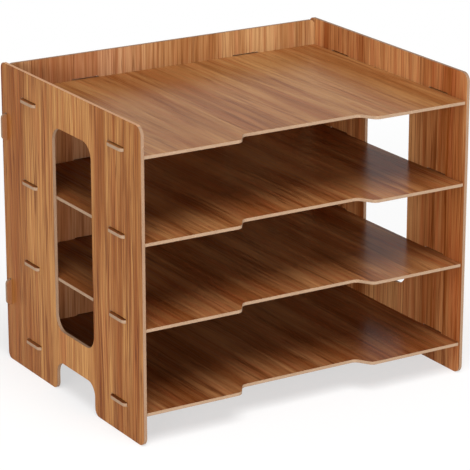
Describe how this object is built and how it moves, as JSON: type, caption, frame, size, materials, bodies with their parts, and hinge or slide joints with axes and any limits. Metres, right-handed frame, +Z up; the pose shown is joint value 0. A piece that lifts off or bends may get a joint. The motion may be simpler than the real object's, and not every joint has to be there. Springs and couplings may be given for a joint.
{
  "type": "document organizer",
  "caption": "Open desk organizer for documents: flat shelves with finger cuts, tabbed into windowed side panels and a back panel that form a tray on top.",
  "frame": {"origin": "middle of the base, on the surface it stands on", "axes": "+X to the right across the width, +Y from the open front to the back panel, +Z up"},
  "size_m": [0.339, 0.252, 0.28],
  "materials": {
    "side_board": "satin wood-grain film on fibreboard, bare cut edges",
    "back_board": "satin wood-grain film on fibreboard, bare cut edges",
    "shelf_board": "satin wood-grain film on fibreboard, bare cut edges"
  },
  "bodies": {
    "root": {"left_side_panel": "side_board", "right_side_panel": "side_board", "back_panel": "back_board", "bottom_shelf": "shelf_board", "lower_shelf": "shelf_board", "upper_shelf": "shelf_board", "top_shelf": "shelf_board"}
  },
  "joints": []
}
